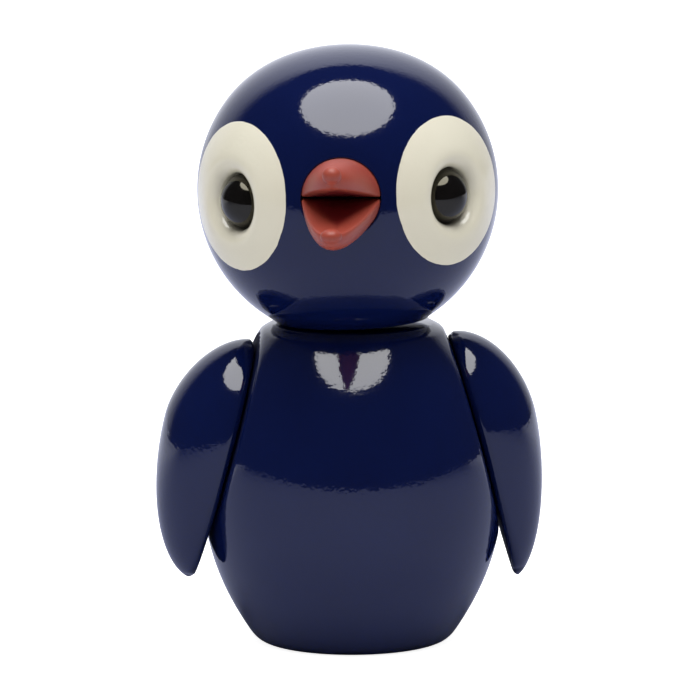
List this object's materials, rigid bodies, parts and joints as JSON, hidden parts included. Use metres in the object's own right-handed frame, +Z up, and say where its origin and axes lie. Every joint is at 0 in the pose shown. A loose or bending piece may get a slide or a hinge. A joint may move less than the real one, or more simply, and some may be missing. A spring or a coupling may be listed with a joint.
{
  "type": "wooden bird figurine",
  "caption": "Turned wooden bird figurine with a ball head that turns on its neck, hung wings that swing on pegs, bead eyes in dished painted rounds and an open red beak.",
  "frame": {"origin": "middle of the flat foot, on the surface that it stands on", "axes": "+Z up, the body faces -Y, and the bird's own left side is +X"},
  "size_m": [0.0776, 0.0817, 0.1198],
  "materials": {
    "navy_lacquer": "high gloss lacquer",
    "red_paint": "satin paint",
    "black_bead": "polished",
    "bare_beech": "bare sanded wood"
  },
  "bodies": {
    "trunk": {"body": "navy_lacquer", "neck_dowel": "bare_beech"},
    "head_group": {"head": "navy_lacquer", "upper_beak": "red_paint", "lower_beak": "red_paint", "left_eye": "black_bead", "right_eye": "black_bead"},
    "left_wing_group": {"left_wing": "navy_lacquer", "left_wing_peg": "bare_beech"},
    "right_wing_group": {"right_wing": "navy_lacquer", "right_wing_peg": "bare_beech"}
  },
  "joints": [
    {"name": "head_turn", "type": "hinge", "parent": "trunk", "child": "head_group", "pos_m": [0, 0, 0.0642], "axis": [-0.0297, 0, 0.9996], "continuous": true},
    {"name": "left_wing_swing", "type": "hinge", "parent": "trunk", "child": "left_wing_group", "pos_m": [0.02279, 0, 0.04828], "axis": [-0.9659, 0, -0.2588], "range_deg": [-118, 118]},
    {"name": "right_wing_swing", "type": "hinge", "parent": "trunk", "child": "right_wing_group", "pos_m": [-0.02304, 0, 0.04738], "axis": [-0.9659, 0, 0.2588], "range_deg": [-118, 118]}
  ]
}
